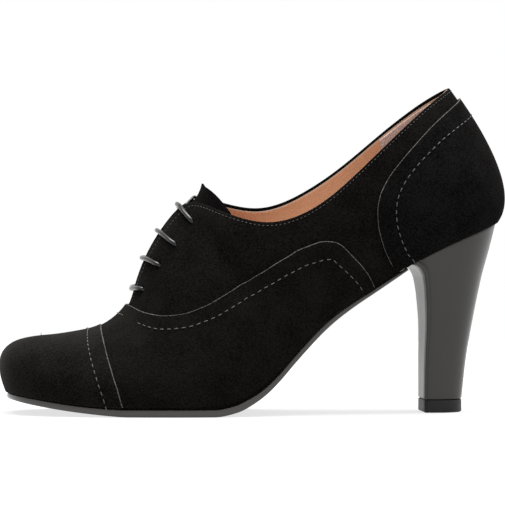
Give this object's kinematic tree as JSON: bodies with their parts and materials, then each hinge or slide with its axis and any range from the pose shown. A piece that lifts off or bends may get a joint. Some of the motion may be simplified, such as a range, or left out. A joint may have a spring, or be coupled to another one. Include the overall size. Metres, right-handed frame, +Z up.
{
  "type": "lace up heel",
  "caption": "Black suede women's lace-up pump on a high tapered heel, a left shoe with a toe cap, swan-neck vamp seam and closed lacing.",
  "frame": {"origin": "on the floor, under the middle of the shoe's length and width", "axes": "+Z up, the toe points along -X and the heel along +X, the outer side of the left foot faces -Y and the inner side faces +Y"},
  "size_m": [0.2237, 0.0811, 0.143],
  "materials": {
    "quarter_suede": "suede",
    "vamp_suede": "suede",
    "cap_suede": "suede",
    "counter_suede": "suede",
    "tongue_suede": "suede",
    "sock": "smooth",
    "sole": "smooth",
    "heel": "gloss",
    "lift": "satin",
    "lace": "waxed"
  },
  "bodies": {
    "root": {"upper": "quarter_suede", "vamp": "vamp_suede", "toe_cap": "cap_suede", "counter": "counter_suede", "tongue": "tongue_suede", "insole": "sock", "outsole": "sole", "heel": "heel", "top_piece": "lift", "lace_1": "lace", "lace_2": "lace", "lace_3": "lace", "lace_4": "lace"}
  },
  "joints": []
}
